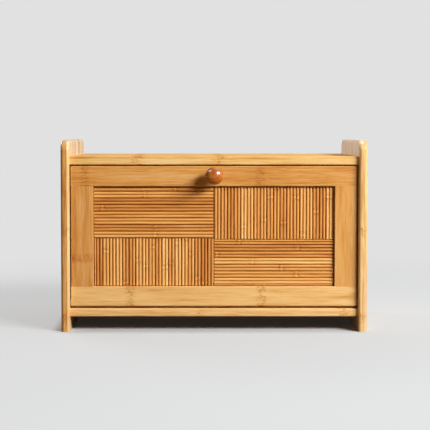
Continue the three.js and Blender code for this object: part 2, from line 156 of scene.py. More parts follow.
def turned(outline, steps=round_steps):
    """A turned piece about Z from its outline of (radius, height) points."""
    bm = bmesh.new()
    verts, edges = wire(bm, [(radius, 0, height) for radius, height in outline])
    bmesh.ops.spin(
        bm,
        geom=verts + edges,
        cent=(0, 0, 0),
        axis=Z,
        angle=2 * math.pi,
        steps=steps,
        use_merge=True,
    )
    bmesh.ops.remove_doubles(bm, verts=bm.verts, dist=tiny)
    bmesh.ops.recalc_face_normals(bm, faces=bm.faces)
    return bm


def laid(bm, axis, place):
    """Turns what was made along +Z to lie along axis, from place."""
    turn = Z.rotation_difference(Vector(axis)).to_matrix()
    bmesh.ops.rotate(bm, cent=(0, 0, 0), matrix=turn, verts=bm.verts)
    bmesh.ops.translate(bm, vec=place, verts=bm.verts)
    return bm


def joined(*parts):
    """One bmesh from several."""
    whole = bmesh.new()
    for part in parts:
        mesh = bpy.data.meshes.new("part")
        part.to_mesh(mesh)
        part.free()
        whole.from_mesh(mesh)
        bpy.data.meshes.remove(mesh)
    return whole


def as_object(name, bm):
    mesh = bpy.data.meshes.new(name)
    bm.to_mesh(mesh)
    bm.free()
    made = bpy.data.objects.new(name, mesh)
    bpy.context.scene.collection.objects.link(made)
    return made


def carve(bm, cutter):
    """Takes the cutter's space away from a solid, both given as bmeshes."""
    kept, tool = as_object("carved", bm), as_object("cutter", cutter)
    modifier = kept.modifiers.new("carve", "BOOLEAN")
    modifier.operation, modifier.solver, modifier.object = "DIFFERENCE", "EXACT", tool
    shaped = kept.evaluated_get(bpy.context.evaluated_depsgraph_get())
    mesh = bpy.data.meshes.new_from_object(shaped)
    result = bmesh.new()
    result.from_mesh(mesh)
    for spent in (kept, tool):
        old = spent.data
        bpy.data.objects.remove(spent)
        bpy.data.meshes.remove(old)
    bpy.data.meshes.remove(mesh)
    bmesh.ops.dissolve_degenerate(result, dist=tiny, edges=result.edges)
    return result


def piece(name, bm, finish, node):
    """A finished piece that stands for a CAD node."""
    made = as_object(name, bm)
    made.data.materials.append(finish)
    made.data.polygons.foreach_set("use_smooth", [True] * len(made.data.polygons))
    made.data.set_sharp_from_angle(angle=math.radians(40))
    shading = made.modifiers.new("even shading", "WEIGHTED_NORMAL")
    shading.keep_sharp = True
    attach(made, body_of[node])
    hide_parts(node)


# ---------------------------------------------------------------- nodes


class Amount:
    """A number that varies over a surface. Sums on it add the Math nodes."""

    def __init__(self, builder, socket):
        self.builder, self.socket = builder, socket

    def sum(self, operation, *values):
        inputs = dict(enumerate(values))
        made = self.builder.node("ShaderNodeMath", {"operation": operation}, inputs)
        return Amount(self.builder, made.outputs[0])

    def __add__(self, other):
        return self.sum("ADD", self, other)

    def __sub__(self, other):
        return self.sum("SUBTRACT", self, other)

    def __rsub__(self, other):
        return self.sum("SUBTRACT", other, self)

    def __mul__(self, other):
        return self.sum("MULTIPLY", self, other)

    def __truediv__(self, other):
        return self.sum("DIVIDE", self, other)

    def __pow__(self, other):
        return self.sum("POWER", self, other)

    __radd__ = __add__
    __rmul__ = __mul__

    def floor(self):
        return self.sum("FLOOR", self)

    def fraction(self):
        return self.sum("FRACT", self)

    def size(self):
        return self.sum("ABSOLUTE", self)

    def lesser(self, other):
        return self.sum("MINIMUM", self, other)

    def greater(self, other):
        return self.sum("MAXIMUM", self, other)

    def ramp(self, low, high):
        """0 below low and 1 above high, with a smooth rise between them."""
        settings = {"interpolation_type": "SMOOTHSTEP"}
        inputs = {"Value": self, "From Min": low, "From Max": high}
        made = self.builder.node("ShaderNodeMapRange", settings, inputs)
        return Amount(self.builder, made.outputs["Result"])


class NodeBuilder:
    """Adds nodes to a tree and feeds their sockets with values or links."""

    def __init__(self, tree):
        self.tree = tree

    def feed(self, made, inputs):
        for key, value in inputs.items():
            socket = made.inputs[key]
            if isinstance(value, Amount):
                self.tree.links.new(value.socket, socket)
            elif isinstance(value, bpy.types.NodeSocket):
                self.tree.links.new(value, socket)
            else:
                socket.default_value = value

    def node(self, kind, settings=None, inputs=None):
        made = self.tree.nodes.new(kind)
        for key, value in (settings or {}).items():
            if key == "stops":
                self.set_stops(made.color_ramp, value)
            else:
                setattr(made, key, value)
        self.feed(made, inputs or {})
        return made

    @staticmethod
    def set_stops(ramp, stops):
        while len(ramp.elements) < len(stops):
            ramp.elements.new(1)
        for element, (position, colour) in zip(ramp.elements, stops):
            element.position = position
            element.color = opaque(colour)

    def coordinates(self, output):
        """The three Texture Coordinate amounts of one kind."""
        here = self.node("ShaderNodeTexCoord").outputs[output]
        split = self.node("ShaderNodeSeparateXYZ", inputs={0: here})
        return [Amount(self, out) for out in split.outputs]

    def blend(self, amount, first, second):
        inputs = {0: amount, 6: first, 7: second}
        return self.node("ShaderNodeMix", {"data_type": "RGBA"}, inputs).outputs[2]

    def blend_shaders(self, amount, first, second):
        return self.node("ShaderNodeMixShader", inputs={0: amount, 1: first, 2: second}).outputs[0]

    def seen_by_lens(self):
        """1 for what the lens sees, and 0 for the light that goes round the studio."""
        return self.node("ShaderNodeLightPath").outputs["Is Camera Ray"]


class Finish(NodeBuilder):
    """A procedural material, built node by node."""

    def __init__(self, name, constants):
        self.material = bpy.data.materials.new(name)
        self.material.use_nodes = True
        super().__init__(self.material.node_tree)
        self.shader = self.tree.nodes["Principled BSDF"]
        self.feed(self.shader, constants)

    def place(self):
        """The three object coordinates, in metres."""
        return self.coordinates("Object")

    def point(self, x, y, z):
        return self.node("ShaderNodeCombineXYZ", inputs={0: x, 1: y, 2: z}).outputs[0]

    def noise(self, point, detail=2.0, roughness=0.5):
        inputs = {"Vector": point, "Scale": 1.0, "Detail": detail, "Roughness": roughness}
        return Amount(self, self.node("ShaderNodeTexNoise", inputs=inputs).outputs[0])

    def wander(self, point, detail=2.0, roughness=0.5):
        """Noise that goes as far below zero as above it."""
        return self.noise(point, detail, roughness) - 0.5

    def chance(self, x, y=0.0):
        """A number from 0 to 1 that is the same wherever x and y are."""
        inputs = {"Vector": self.point(x, y, 0.0)}
        made = self.node("ShaderNodeTexWhiteNoise", {"noise_dimensions": "3D"}, inputs)
        return Amount(self, made.outputs["Value"])

    def attribute(self, name):
        made = self.node("ShaderNodeAttribute", {"attribute_name": name})
        return Amount(self, made.outputs["Fac"])

    def colours(self, amount, stops):
        return self.node("ShaderNodeValToRGB", {"stops": stops}, {0: amount}).outputs[0]

    def bump(self, height, distance, strength=1.0):
        inputs = {"Height": height, "Distance": distance, "Strength": strength}
        return self.node("ShaderNodeBump", inputs=inputs).outputs["Normal"]

    def done(self, colour, roughness, normal):
        self.feed(self.shader, {"Base Color": colour, "Roughness": roughness, "Normal": normal})
        return self.material


# ---------------------------------------------------------------- colours


def srgb(red, green, blue):
    """A screen colour from 0 to 255 as the linear colour that a shader takes."""
    parts = [c / 255 for c in (red, green, blue)]
    return tuple(c / 12.92 if c <= 0.04045 else ((c + 0.055) / 1.055) ** 2.4 for c in parts)


def opaque(colour):
    return (*colour, 1)


def grey(tone):
    return (tone, tone, tone, 1)


def scaled(colour, factor):
    return tuple(c * factor for c in colour)


def deeper(colour):
    """The colour of a wood's dark fibres, from its main screen colour."""
    return srgb(*(c * kept for c, kept in zip(colour, (0.82, 0.68, 0.44))))


def paler(colour):
    """The colour of a wood's light fibres, from its main screen colour."""
    return srgb(*(c + (255 - c) * share for c, share in zip(colour, (0.5, 0.36, 0.3))))


def wood_stops(colour):
    return [(0.0, deeper(colour)), (0.5, srgb(*colour)), (1.0, paler(colour))]


# ---------------------------------------------------------------- finishes

# A factor on a coordinate is how many times a pattern changes in a metre: often across the fibres,
# seldom along them.


def strip_pattern(finish, width, depth, strip, seed):
    """The tone of each glued strip, and how far its growth nodes are out of line with the rest."""
    layer = 5.6 * mm
    narrow, most_slip = 40 * mm, 9 * mm
    strip_no = (width / strip + seed * 7.3).floor()
    layer_no = (depth / layer + seed * 3.1).floor()
    tone = finish.chance(strip_no, layer_no) - 0.5
    slip = (finish.chance(strip_no + 17, layer_no) - 0.5) * (most_slip if strip < narrow else 0)
    return tone, slip


def nearest_node(finish, run, width, depth, slip, nodes_at, seed):
    """How far off the nearest growth node is. Each node is a ragged line across the wood."""
    ragged = finish.wander(finish.point(width * 420, depth * 420, seed)) * (9 * mm)
    distances = [(run - place + slip + ragged).size() for place in nodes_at]
    nearest = distances[0]
    for distance in distances[1:]:
        nearest = nearest.lesser(distance)
    return nearest


def drifted(finish, run, width, depth, seed):
    """The two cross coordinates, shifted a little along the run so that no fibre is straight."""
    drift = finish.wander(finish.point(run * 14, width * 60, depth * 60 + seed)) * (4 * mm)
    return width + drift, depth + drift


def bamboo_grain(finish, run, side, deep, seed):
    """Noise about zero at three scales: fine fibres, streaks and broad clouds."""
    fibre = finish.wander(finish.point(run * 45 + seed, side * 1500, deep * 1500))
    streak = finish.wander(finish.point(run * 20 + seed, side * 640, deep * 640), 3, 0.65)
    cloud = finish.wander(finish.point(run * 7 + seed, side * 90, deep * 120))
    return fibre, streak, cloud


def bamboo(
    name,
    along,
    across,
    seed,
    colour,
    strip=60 * mm,
    nodes_at=(),
    strip_change=0.0,
    streaks=1.0,
    face=None,
    gloss=0.2,
):
    """Lacquered bamboo, its grain along one axis and its glued strips side by side across another.

    nodes_at is where growth nodes cross. face is (front, inside, colour): painted light, another
    colour past front, measured across, fading out at inside, measured through the wood from the
    middle of the box.
    It paints those faces lighter or darker for how the light falls on them, and paler where it stands
    for a reflection.
    """
    constants = {"Coat Weight": gloss, "Coat Roughness": 0.25, "Specular IOR Level": gloss * 2}
    finish = Finish(name, constants)
    axes = dict(zip("xyz", finish.place()))
    run = axes[along]
    width = axes[across]
    depth = axes[({"x", "y", "z"} - {along, across}).pop()]
    tone, slip = strip_pattern(finish, width, depth, strip, seed)
    side, deep = drifted(finish, run, width, depth, seed)
    fibre, streak, cloud = bamboo_grain(finish, run, side, deep, seed)
    grain = streak * (1.25 * streaks) + fibre * (0.7 * streaks) + cloud * 0.85
    shade = tone * strip_change + grain + 0.5
    roughness = 0.55 - gloss * 0.5 + fibre * 0.15
    if nodes_at:
        nearest = nearest_node(finish, run, width, depth, slip, nodes_at, seed)
        dash = finish.noise(finish.point(run * 230, side * 800, deep * 800), 1).ramp(0.5, 0.64)
        band = 1 - nearest.ramp(2.5 * mm, 8.5 * mm)
        core = 1 - nearest.ramp(0.4 * mm, 1.6 * mm)
        shade = shade - band * dash * 0.42 - band * 0.07 - core * dash * 0.15
        roughness = roughness + band * 0.06
    shown = finish.colours(shade, wood_stops(colour))
    # Painted light: the faces past front take their own colour, lighter or darker for the light on
    # them.
    if face:
        front, inside, painted_light_colour = face
        past_front = (width - front).ramp(-0.5 * mm, 0.5 * mm)
        painted_light_mask = past_front * (inside - depth.size()).ramp(-mm, mm)
        shown = finish.blend(painted_light_mask, shown, finish.colours(shade, wood_stops(painted_light_colour)))
    normal = finish.bump(fibre * 0.5 + streak * 0.5, 0.03 * mm, 0.5)
    return finish.done(shown, roughness, normal)


slat_stops = [
    (0.0, srgb(128, 60, 10)),
    (0.3, srgb(184, 108, 36)),
    (0.6, srgb(222, 158, 80)),
    (1.0, srgb(247, 208, 138)),
]
ply_stops = [(0.0, srgb(176, 122, 66)), (0.5, srgb(218, 172, 112)), (1.0, srgb(240, 206, 152))]
knob_stops = [(0.0, srgb(116, 52, 8)), (0.5, srgb(174, 94, 24)), (1.0, srgb(214, 138, 54))]
beech_stops = [(0.2, srgb(188, 148, 100)), (0.8, srgb(226, 196, 150))]
nylon_pair = (opaque(srgb(222, 217, 204)), opaque(srgb(236, 232, 222)))


def slat_bamboo(name, along, seed):
    """Grooved slats. Each slat has its own tone and node place, held as attributes on its mesh, and
    its grooves get painted shade.
    """
    constants = {"Coat Weight": 0.12, "Coat Roughness": 0.3, "Specular IOR Level": 0.4}
    finish = Finish(name, constants)
    axes = dict(zip("xyz", finish.place()))
    run = axes[along]
    across = axes["z" if along == "x" else "x"]
    tone = finish.attribute("slat_tone")
    number = finish.attribute("slat_number")
    groove_shade = finish.attribute("slat_valley")
    fibre = finish.wander(finish.point(run * 30 + number * 5.3, across * 1400, number))
    streak_at = finish.point(run * 12 + number * 3.7, across * 500, number + seed)
    streak = finish.wander(streak_at, 3, 0.6)
    wiggle = finish.wander(finish.point(across * 700, number, seed)) * (4 * mm)
    nearest = (run - finish.attribute("slat_node") + wiggle).size()
    band = 1 - nearest.ramp(1 * mm, 8 * mm)
    core = 1 - nearest.ramp(0.3 * mm, 2 * mm)
    speck = finish.noise(finish.point(run * 330, across * 700, number)).ramp(0.48, 0.6)
    grain = streak * 0.7 + fibre * 0.45
    # Painted shade: the grooves darken by how deep they lie.
    shade = tone + grain - band * speck * 0.32 + core * 0.2 - groove_shade * 0.42
    roughness = 0.45 + fibre * 0.15 + groove_shade * 0.2
    normal = finish.bump(fibre * 0.5 + streak * 0.5, 0.06 * mm, 0.5)
    return finish.done(finish.colours(shade, slat_stops), roughness, normal)


def ply_bamboo(name, seed):
    """Thin sheet with wide level strips and a dull lacquer."""
    finish = Finish(name, {"Specular IOR Level": 0.35})
    strip = 17 * mm
    x, y, z = finish.place()
    strip_no = (z / strip + seed).floor()
    tone = finish.chance(strip_no)
    fibre = finish.noise(finish.point(x * 12 + strip_no * 2.3, y * 900, z * 900), 3)
    streak = finish.noise(finish.point(x * 4 + strip_no, y * 200, z * 200))
    shade = tone * 0.25 + fibre * 0.4 + streak * 0.5 - 0.05
    normal = finish.bump(fibre, 0.08 * mm, 0.5)
    return finish.done(finish.colours(shade, ply_stops), 0.55 + fibre * 0.15, normal)


def polished_knob_wood():
    """Reddish brown wood with faint growth rings under a thick clear coat."""
    constants = {"Coat Weight": 1.0, "Coat Roughness": 0.07, "Specular IOR Level": 0.5}
    finish = Finish("polished_knob_wood", constants)
    x, y, z = finish.place()
    bend = finish.noise(finish.point(x * 90, y * 50, z * 90)) * 2.2
    ring = (y * 190 + x * 70 - z * 120 + bend).fraction()
    fibre = finish.noise(finish.point(x * 500, y * 90, z * 500), 3)
    patch = finish.noise(finish.point(x * 110, y * 110, z * 110), 1)
    shade = (ring - 0.5).size() * 0.5 + fibre * 0.35 + patch * 0.5 - 0.1
    normal = finish.bump(fibre, 0.02 * mm, 0.3)
    return finish.done(finish.colours(shade, knob_stops), 0.3 + fibre * 0.1, normal)


def metal(name, tint, roughness):
    """Plated or turned metal with a fine grain and dull patches."""
    finish = Finish(name, {"Metallic": 1.0})
    x, y, z = finish.place()
    grain = finish.noise(finish.point(x * 900, y * 900, z * 900), 3)
    dull = finish.noise(finish.point(x * 120, y * 120, z * 120))
    colour = finish.blend(dull, opaque(scaled(tint, 0.82)), opaque(tint))
    normal = finish.bump(grain, 0.01 * mm, 0.4)
    return finish.done(colour, roughness + dull * 0.15, normal)


def beech_wood():
    finish = Finish("beech_dowel_wood", {"Specular IOR Level": 0.3})
    x, y, z = finish.place()
    fibre = finish.noise(finish.point(x * 40, y * 1200, z * 1200), 3)
    normal = finish.bump(fibre, 0.05 * mm)
    return finish.done(finish.colours(fibre, beech_stops), 0.6 + fibre * 0.1, normal)


def moulded_nylon():
    finish = Finish("moulded_nylon", {"Specular IOR Level": 0.45})
    x, y, z = finish.place()
    mottle = finish.noise(finish.point(x * 500, y * 500, z * 500))
    normal = finish.bump(mottle, 0.02 * mm)
    return finish.done(finish.blend(mottle, *nylon_pair), 0.42 + mottle * 0.1, normal)


zinc = metal("zinc_plate", srgb(196, 198, 204), 0.25)
nickel = metal("nickel_plate", srgb(206, 202, 194), 0.15)
brass = metal("turned_brass", srgb(214, 172, 92), 0.25)
nylon = moulded_nylon()
beech = beech_wood()


# ---------------------------------------------------------------- carcass


def carcass_screw_nodes(hand):
    places = [(board, end) for board in ("bottom", "top") for end in ("front", "back")]
    return [f"carcass_screw_{hand}_{board}_{end}" for board, end in places]


def screw_seat(node, outside, outward):
    """A cutter for the cone that a screw's head lies in."""
    low, high, middle = place_of(node)
    mouth = high.y - middle.y + 0.2 * mm
    throat = mouth - seat_depth + 0.5 * mm
    outline = [(0, -seat_depth), (throat, -seat_depth), (mouth, -0.4 * mm), (mouth, past), (0, past)]
    return laid(turned(outline), outward, (outside, middle.y, middle.z))


def side_panel(hand, outward, seed, colour, painted_light_colour):
    """An upright with well rounded front, top and back edges, and a seat for each screw head."""
    node = f"side_panel_{hand}"
    low, high, middle = place_of(node)
    bm = block(low, high)
    corners = edges_at(bm, y=low.y, z=high.z) + edges_at(bm, y=high.y, z=high.z)
    round_over(bm, corners, panel_corner, 12)
    foot = edges_at(bm, z=low.z)
    rims = [e for e in edges_at(bm, x=low.x) + edges_at(bm, x=high.x) if e not in foot]
    round_over(bm, rims, panel_edge_round, 7)
    outside = low.x if hand == "left" else high.x
    seats = [screw_seat(screw, outside, outward) for screw in carcass_screw_nodes(hand)]
    wood = bamboo(
        f"side_bamboo_{hand}",
        "z",
        "y",
        seed,
        colour,
        strip=22 * mm,
        nodes_at=(0.134, 0.021),
        strip_change=0.5,
        # The inner face colour is painted light and painted reflection: paler and whiter than the
        # wood.
        face=(low.y + panel_edge_round, abs(middle.x), painted_light_colour),
    )
    piece(f"{hand}_upright", carve(bm, joined(*seats)), wood, node)


def carcass_board(name, node, ease_under, seed, colour, painted_light_colour, nodes_at):
    low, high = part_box(node)
    bm = block(low, high)
    for z, ease in ((low.z, ease_under), (high.z, board_ease)):
        round_over(bm, edges_at(bm, y=low.y, z=z) + edges_at(bm, y=high.y, z=z), ease, 4)
    wood = bamboo(
        f"{name}_bamboo",
        "x",
        "y",
        seed,
        colour,
        strip=21 * mm,
        nodes_at=nodes_at,
        strip_change=0.3,
        # The faces behind the front take a darker colour as painted shade, for the light that falls
        # on the top.
        face=(low.y + board_ease, high.z, painted_light_colour),
        gloss=0.006,
    )
    piece(name, bm, wood, node)


def rear_panel():
    """A thin sheet with a row of vent holes, their rims eased on both faces."""
    node = "back_panel"
    low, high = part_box(node)
    thick = high.y - low.y
    flare = vent_radius + vent_rim
    outline = [(0, -past), (flare, -past), (flare, 0), (vent_radius, vent_rim)]
    outline += [(vent_radius, thick - vent_rim), (flare, thick)]
    outline += [(flare, thick + past), (0, thick + past)]
    vents = []
    for i in range(vent_count):
        x = (i - (vent_count - 1) / 2) * vent_pitch
        vents.append(laid(turned(outline), Y, (x, low.y, high.z - vent_drop)))
    piece("rear_panel", carve(block(low, high), joined(*vents)), ply_bamboo("rear_ply", 0.3), node)


# ---------------------------------------------------------------- hardware


def socket_screw(radius, length, shank):
    """A countersunk screw along -Z with a hexagon socket, its head flush with z = 0."""
    rim, land, key = 0.25 * mm, 0.6 * mm, 1.75 * mm
    outline = [(0, 0), (radius - rim, 0), (radius, -rim), (radius, -land)]
    outline += [(shank, -land - radius + shank), (shank, -length + 2 * shank)]
    outline += [(shank / 3, -length), (0, -length)]
    socket = turned([(0, past), (key, past), (key, -2.2 * mm), (0, -2.6 * mm)], 6)
    return carve(turned(outline), socket)


def cross_recess(size, depth):
    """The two cutters of a cross recess in a screw head at z = 0."""
    arms = []
    for turn in (0, math.pi / 2):
        arm = block((-size, -size / 5, -depth), (size, size / 5, past))
        floor = [v for v in arm.verts if v.co.z < 0]
        bmesh.ops.scale(arm, vec=(0.35, 0.7, 1), verts=floor)
        quarter = Matrix.Rotation(turn, 3, "Z")
        bmesh.ops.rotate(arm, cent=(0, 0, 0), matrix=quarter, verts=arm.verts)
        arms.append(arm)
    return arms


def cross_screw(radius, length, shank, rim):
    """A countersunk cross-head screw along -Z, its head flush with z = 0."""
    ease = 0.15 * mm
    outline = [(0, 0), (radius - ease, 0), (radius, -ease), (radius, -rim - ease)]
    outline += [(shank, -rim - radius + shank), (shank, -length + 2 * shank)]
    outline += [(shank / 3, -length), (0, -length)]
    bm = turned(outline)
    for arm in cross_recess(radius * 0.55, radius * 0.6):
        bm = carve(bm, arm)
    return bm


def pan_screw(radius, height, shank, length):
    """A pan-head screw along -Z: its head is above z = 0."""
    crown_radius = radius * 2.2
    crown = arc((0, height - crown_radius), crown_radius, 90, 68, 6)
    outline = [(0, height)] + crown[1:] + [(radius, height * 0.45), (radius, 0), (shank, 0)]
    outline += [(shank, -length), (0, -length)]
    bm = turned(outline)
    for arm in cross_recess(radius * 0.5, radius * 0.45):
        bmesh.ops.translate(arm, vec=(0, 0, height), verts=arm.verts)
        bm = carve(bm, arm)
    return bm


def carcass_screws(hand, outward):
    for node in carcass_screw_nodes(hand):
        low, high, middle = place_of(node)
        head_x = low.x if hand == "left" else high.x
        bm = socket_screw((high.y - low.y) / 2, high.x - low.x, carcass_screw_shank)
        laid(bm, outward, (head_x, middle.y, middle.z))
        piece(node.replace("carcass", "socket"), bm, zinc, node)


def hinge_pin(hand):
    """A plain pin with both ends eased."""
    node = f"hinge_pin_{hand}"
    low, high, middle = place_of(node)
    radius, half, ease = (high.z - low.z) / 2, (high.x - low.x) / 2, 0.5 * mm
    outline = [(0, -half), (radius - ease, -half), (radius, -half + ease)]
    outline += [(r, -z) for r, z in reversed(outline)]
    piece(f"steel_pin_{hand}", laid(turned(outline), X, middle), zinc, node)


def hinge_bush(hand, outward):
    """A flanged sleeve, its flange outside the end of the bottom rail."""
    node = f"hinge_bush_{hand}"
    low, high, middle = place_of(node)
    flange, length = (high.z - low.z) / 2, high.x - low.x
    bore, sleeve, thick, ease = 2.62 * mm, 4 * mm, 0.85 * mm, 0.25 * mm
    outline = [(bore, 0), (flange - ease, 0), (flange, -ease), (flange, -thick)]
    outline += [(sleeve, -thick), (sleeve, -length), (bore, -length), (bore, 0)]
    face = low.x if hand == "left" else high.x
    bm = laid(turned(outline), outward, (face, middle.y, middle.z))
    piece(f"flanged_bush_{hand}", bm, nylon, node)


def catch_block(hand, seed, magnet_radius, magnet_thick, head):
    """A block under the top board, cut for a magnet in its face and a screw head below."""
    node = f"catch_block_{hand}"
    low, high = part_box(node)
    magnet = place_of(f"catch_magnet_{hand}")[2]
    screw = place_of(f"catch_screw_{hand}")[2]
    bm = block(low, high)
    round_over(bm, [e for e in bm.edges if e not in edges_at(bm, z=high.z)], block_ease, 4)
    bore, mouth, land = magnet_radius + 0.1 * mm, head + 0.15 * mm, 0.3 * mm
    hole = [(0, -past), (bore, -past), (bore, magnet_thick), (0, magnet_thick)]
    seat = [(0, -past), (mouth, -past), (mouth, land)]
    seat += [(head / 2, land + head / 2), (0, land + head / 2)]
    cutters = joined(
        laid(turned(hole), Y, (magnet.x, low.y, magnet.z)),
        laid(turned(seat), Z, (screw.x, screw.y, low.z)),
    )
    wood = bamboo(f"catch_bamboo_{hand}", "x", "z", seed, (222, 170, 100))
    piece(f"catch_body_{hand}", carve(bm, cutters), wood, node)


def catch(hand, seed):
    """A block under the top board, its magnet and its screw."""
    magnet_low, magnet_high, magnet = place_of(f"catch_magnet_{hand}")
    radius, thick = (magnet_high.z - magnet_low.z) / 2, magnet_high.y - magnet_low.y
    screw_low, screw_high, screw = place_of(f"catch_screw_{hand}")
    head = (screw_high.x - screw_low.x) / 2
    catch_block(hand, seed, radius, thick, head)
    ease = 0.3 * mm
    disc = [(0, 0), (radius - ease, 0), (radius, -ease), (radius, -thick), (0, -thick)]
    bm = laid(turned(disc), -Y, (magnet.x, magnet_low.y, magnet.z))
    piece(f"magnet_{hand}", bm, nickel, f"catch_magnet_{hand}")
    bm = cross_screw(head, screw_high.z - screw_low.z, catch_screw_shank, 0.3 * mm)
    laid(bm, -Z, (screw.x, screw.y, screw_low.z))
    piece(f"block_screw_{hand}", bm, zinc, f"catch_screw_{hand}")


def strike(hand):
    """The disc on the door that a magnet holds, and its screw."""
    low, high, middle = place_of(f"strike_plate_{hand}")
    radius, thick, ease = (high.z - low.z) / 2, high.y - low.y, 0.3 * mm
    screw_low, screw_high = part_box(f"strike_screw_{hand}")
    head = (screw_high.z - screw_low.z) / 2
    mouth, throat = head + 0.1 * mm, head - 0.9 * mm
    outline = [(mouth, 0), (radius - ease, 0), (radius, -ease), (radius, -thick)]
    outline += [(throat, -thick), (mouth, 0)]
    bm = laid(turned(outline), Y, (middle.x, high.y, middle.z))
    piece(f"strike_disc_{hand}", bm, nickel, f"strike_plate_{hand}")
    bm = cross_screw(head, screw_high.y - screw_low.y, strike_screw_shank, 0.1 * mm)
    laid(bm, Y, (middle.x, screw_high.y, middle.z))
    piece(f"disc_screw_{hand}", bm, zinc, f"strike_screw_{hand}")


# ---------------------------------------------------------------- door

opening_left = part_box("stile_left")[1].x
opening_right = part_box("stile_right")[0].x
opening_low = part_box("bottom_rail")[1].z
opening_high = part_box("top_rail")[0].z


def rail(node, inner, outer, outer_radius, segments, grow):
    """A rail between its inner edge, at the opening, and its outer edge. grow fattens a cutter."""
    low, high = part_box(node)
    low, high = low - Vector((grow,) * 3), high + Vector((grow,) * 3)
    inner_z = inner + (grow if outer < inner else -grow)
    outer_z = outer + (grow if outer > inner else -grow)
    bm = block((low.x, low.y, min(inner_z, outer_z)), (high.x, high.y, max(inner_z, outer_z)))
    outside = edges_at(bm, y=low.y, z=outer_z) + edges_at(bm, y=high.y, z=outer_z)
    inside_front = edges_at(bm, y=low.y, z=inner_z)
    inside_back = edges_at(bm, y=high.y, z=inner_z)
    round_over(bm, outside, outer_radius, segments)
    round_over(bm, inside_front, inner_round + grow, 6)
    round_over(bm, inside_back, back_ease, 3)
    if not grow:
        round_over(bm, rail_end_edges(bm, low.x, high.x, inner_z), door_end_ease, 3)
    return bm


def rail_end_edges(bm, left, right, inner_z):
    """The rims of a rail's two ends, except where they meet the stiles."""
    ends = [e for x in (left, right) for e in edges_at(bm, x=x)]
    reach = inner_round + tiny
    return [e for e in ends if not all(abs(v.co.z - inner_z) < reach for v in e.verts)]


def top_rail(grow=0.0):
    return rail("top_rail", opening_high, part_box("top_rail")[1].z, door_ease, 4, grow)


def bottom_rail(grow=0.0):
    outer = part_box("bottom_rail")[0].z
    return rail("bottom_rail", opening_low, outer, bottom_edge_round, 6, grow)


def stile(hand):
    """An upright of the door frame, its ends coped over the rails' rounded edges."""
    low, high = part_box(f"stile_{hand}")
    foot, head = opening_low - inner_round, opening_high + inner_round
    bm = block((low.x, low.y, foot), (high.x, high.y, head))
    inner, outer = (high.x, low.x) if hand == "left" else (low.x, high.x)
    round_over(bm, edges_at(bm, x=inner, y=low.y), inner_round, 6)
    round_over(bm, edges_at(bm, x=inner, y=high.y), back_ease, 3)
    outside = edges_at(bm, x=outer, y=low.y) + edges_at(bm, x=outer, y=high.y)
    round_over(bm, outside, door_end_ease, 3)
    bm = carve(bm, top_rail(joint_gap))
    return carve(bm, bottom_rail(joint_gap))


def door_frame():
    top_nodes, low_nodes = (-0.1685, 0.0605), (-0.11, 0.062)
    top_wood = bamboo("top_rail_bamboo", "x", "z", 1, (211, 147, 70), nodes_at=top_nodes)
    piece("door_rail_top", top_rail(), top_wood, "top_rail")
    colour = (235, 185, 114)
    low_wood = bamboo("bottom_rail_bamboo", "x", "z", 5, colour, nodes_at=low_nodes, streaks=0.8)
    piece("door_rail_bottom", bottom_rail(), low_wood, "bottom_rail")
    uprights = (
        ("left", 9, (207, 142, 68), 0.096, 0.8),
        ("right", 12, (218, 158, 82), 0.045, 0.7),
    )
    for hand, seed, colour, node_at, streaks in uprights:
        name = f"{hand}_stile_bamboo"
        wood = bamboo(name, "z", "x", seed, colour, nodes_at=(node_at,), streaks=streaks)
        piece(f"door_stile_{hand}", stile(hand), wood, f"stile_{hand}")


def slat_section(bm, width, thickness, ridges):
    """The face of a slat across its length: ridges as arcs over a flat back."""
    pitch = width / ridges
    chord = pitch / 2
    radius = (chord * chord + ridge_rise * ridge_rise) / (2 * ridge_rise)
    half = math.degrees(math.asin(min(1, chord / radius)))
    points = []
    for i in range(ridges):
        centre = ((i + 0.5) * pitch, thickness - radius)
        ridge = arc(centre, radius, 90 + half, 90 - half, ridge_steps)
        points += ridge[1:] if i else ridge
    first, last = points[0], points[-1]
    points[0] = (first[0], first[1] - slat_edge_drop)
    points[-1] = (last[0], last[1] - slat_edge_drop)
    outline = [(0, 0), *points, (width, 0)]
    return bm.faces.new([bm.verts.new((u, v, 0)) for u, v in outline])


def slat(width, thick, length, ridges, values):
    """A slat with ridges towards +Y, its length along +Z. Its vertices hold values for the finish."""
    bm = bmesh.new()
    face = slat_section(bm, width, thick, ridges)
    made = bmesh.ops.extrude_face_region(bm, geom=[face])["geom"]
    end = [v for v in made if isinstance(v, bmesh.types.BMVert)]
    bmesh.ops.translate(bm, vec=(0, 0, length), verts=end)
    bmesh.ops.recalc_face_normals(bm, faces=bm.faces)
    for key, value in values.items():
        layer = bm.verts.layers.float.new(key)
        for v in bm.verts:
            v[layer] = value
    # How deep each vertex lies in a groove, for the painted shade in the grooves.
    layer = bm.verts.layers.float.new("slat_valley")
    for v in bm.verts:
        v[layer] = min(1, max(0, (thick - v.co.y) / (ridge_rise + slat_edge_drop)))
    return bm


